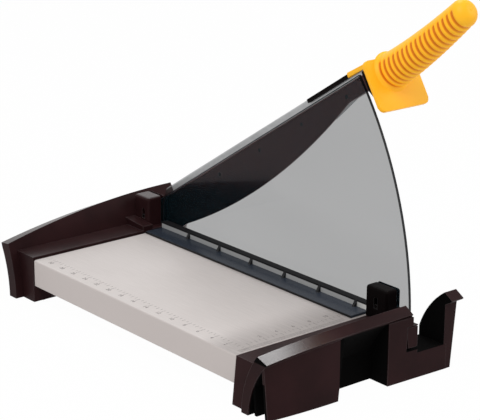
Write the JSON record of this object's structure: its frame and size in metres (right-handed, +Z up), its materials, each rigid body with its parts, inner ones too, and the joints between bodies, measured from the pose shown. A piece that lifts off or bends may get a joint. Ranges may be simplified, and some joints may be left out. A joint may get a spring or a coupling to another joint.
{
  "type": "paper cutter",
  "caption": "Lever paper cutter: metal bed between flared end caps, curved blade on a hinged arm with a ribbed handle, clear guard with paper clamp, and a cradle that locks the arm.",
  "frame": {"origin": "middle of the cutter's bounding box, on the table", "axes": "+X right, from the bed to the blade; +Y back, from the handle to the pivot; +Z up"},
  "size_m": [0.222, 0.4806, 0.3547],
  "materials": {
    "bed_metal": "satin",
    "steel": "satin",
    "fastener": "satin",
    "cap_plastic": "satin",
    "black_plastic": "satin",
    "rubber": "matte",
    "guard_clear": "gloss",
    "clamp_clear": "gloss",
    "bush": "satin",
    "blade_dark": "satin",
    "beam_metal": "satin",
    "handle_amber": "satin"
  },
  "bodies": {
    "base": {"bed_tray": "bed_metal", "bed_stiffener": "steel", "fixed_knife": "steel", "knife_screws": "fastener", "knife_nuts": "fastener", "front_cap_body": "cap_plastic", "front_cap_cover": "cap_plastic", "rear_cap_body": "cap_plastic", "rear_cap_cover": "cap_plastic", "cap_screws": "fastener", "cover_screws": "fastener", "front_left_foot": "rubber", "front_right_foot": "rubber", "rear_left_foot": "rubber", "rear_right_foot": "rubber", "front_guide_post": "cap_plastic", "rear_guide_post": "cap_plastic", "post_screws": "fastener", "catch_pin": "fastener", "pivot_bracket": "steel", "bracket_screws": "fastener", "pivot_stud": "fastener", "pivot_washer": "fastener", "disc_springs": "fastener", "pivot_nut": "fastener"},
    "arm": {"blade": "blade_dark", "arm_beam": "beam_metal", "arm_trim": "black_plastic", "blade_screws": "fastener", "pivot_bush": "bush", "arm_neck": "black_plastic", "handle": "handle_amber", "handle_screws": "fastener"},
    "guard": {"guard_panel": "guard_clear", "paper_clamp": "clamp_clear", "front_guard_pin": "fastener", "rear_guard_pin": "fastener"},
    "catch": {"lock_catch": "cap_plastic"}
  },
  "joints": [
    {"name": "arm_hinge", "type": "hinge", "parent": "base", "child": "arm", "pos_m": [0.0725, 0.19408, 0.04], "axis": [1, 0, 0], "range_deg": [0, 34]},
    {"name": "guard_lift", "type": "slide", "parent": "base", "child": "guard", "axis": [0, 0, 1], "range_m": [0, 0.006]},
    {"name": "catch_swing", "type": "hinge", "parent": "base", "child": "catch", "pos_m": [0.0565, -0.19192, 0.0496], "axis": [0, 1, 0], "range_deg": [0, 5], "stiffness_Nm_per_rad": 0.3}
  ]
}
